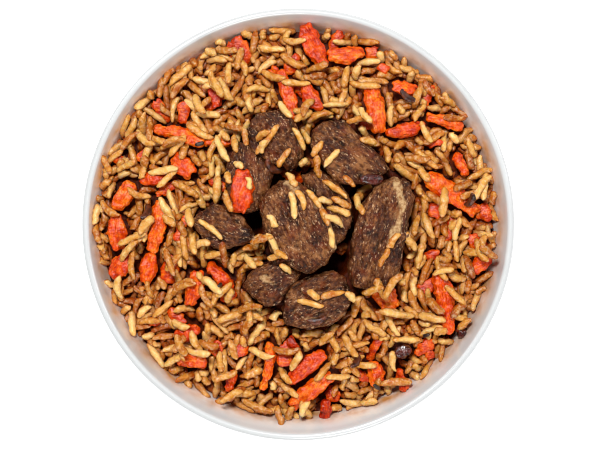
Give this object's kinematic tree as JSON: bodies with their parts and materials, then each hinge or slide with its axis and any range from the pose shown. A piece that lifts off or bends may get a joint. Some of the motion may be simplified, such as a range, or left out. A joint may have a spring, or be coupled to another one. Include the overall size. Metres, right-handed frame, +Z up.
{
  "type": "bowl of pilaf",
  "caption": "White bowl heaped with oily brown rice, carrot strips and browned beef chunks, for a table setting.",
  "frame": {"origin": "on the table, at the centre of the bowl's foot", "axes": "+Z up; the picture's right is +X and its top is +Y"},
  "size_m": [0.15, 0.15, 0.0746],
  "materials": {
    "white_glaze": "gloss",
    "oiled_rice": "oily, semi-gloss",
    "browned_beef": "moist, semi-gloss",
    "cooked_carrot": "wet, gloss",
    "dried_berry": "gloss"
  },
  "bodies": {
    "root": {"bowl": "white_glaze", "rice": "oiled_rice", "beef_centre": "browned_beef", "beef_right": "browned_beef", "beef_top_right": "browned_beef", "beef_top_left": "browned_beef", "beef_bottom": "browned_beef", "beef_left_upper": "browned_beef", "beef_left": "browned_beef", "beef_lower_left": "browned_beef", "beef_behind": "browned_beef", "carrot_top_1": "cooked_carrot", "carrot_top_2": "cooked_carrot", "carrot_top_3": "cooked_carrot", "carrot_top_4": "cooked_carrot", "carrot_top_5": "cooked_carrot", "carrot_top_6": "cooked_carrot", "carrot_top_7": "cooked_carrot", "carrot_top_8": "cooked_carrot", "carrot_top_9": "cooked_carrot", "carrot_right_1": "cooked_carrot", "carrot_right_2": "cooked_carrot", "carrot_right_3": "cooked_carrot", "carrot_right_4": "cooked_carrot", "carrot_right_5": "cooked_carrot", "carrot_left_1": "cooked_carrot", "carrot_left_2": "cooked_carrot", "carrot_left_3": "cooked_carrot", "carrot_left_4": "cooked_carrot", "carrot_left_5": "cooked_carrot", "carrot_left_6": "cooked_carrot", "carrot_left_7": "cooked_carrot", "carrot_left_8": "cooked_carrot", "carrot_left_9": "cooked_carrot", "carrot_left_10": "cooked_carrot", "carrot_left_11": "cooked_carrot", "carrot_bottom_1": "cooked_carrot", "carrot_bottom_2": "cooked_carrot", "carrot_bottom_3": "cooked_carrot", "carrot_bottom_4": "cooked_carrot", "carrot_bottom_5": "cooked_carrot", "carrot_bottom_6": "cooked_carrot", "carrot_bottom_7": "cooked_carrot", "carrot_bottom_8": "cooked_carrot", "carrot_bottom_9": "cooked_carrot", "carrot_bottom_10": "cooked_carrot", "carrot_on_beef": "cooked_carrot", "berry_1": "dried_berry", "berry_2": "dried_berry"}
  },
  "joints": []
}
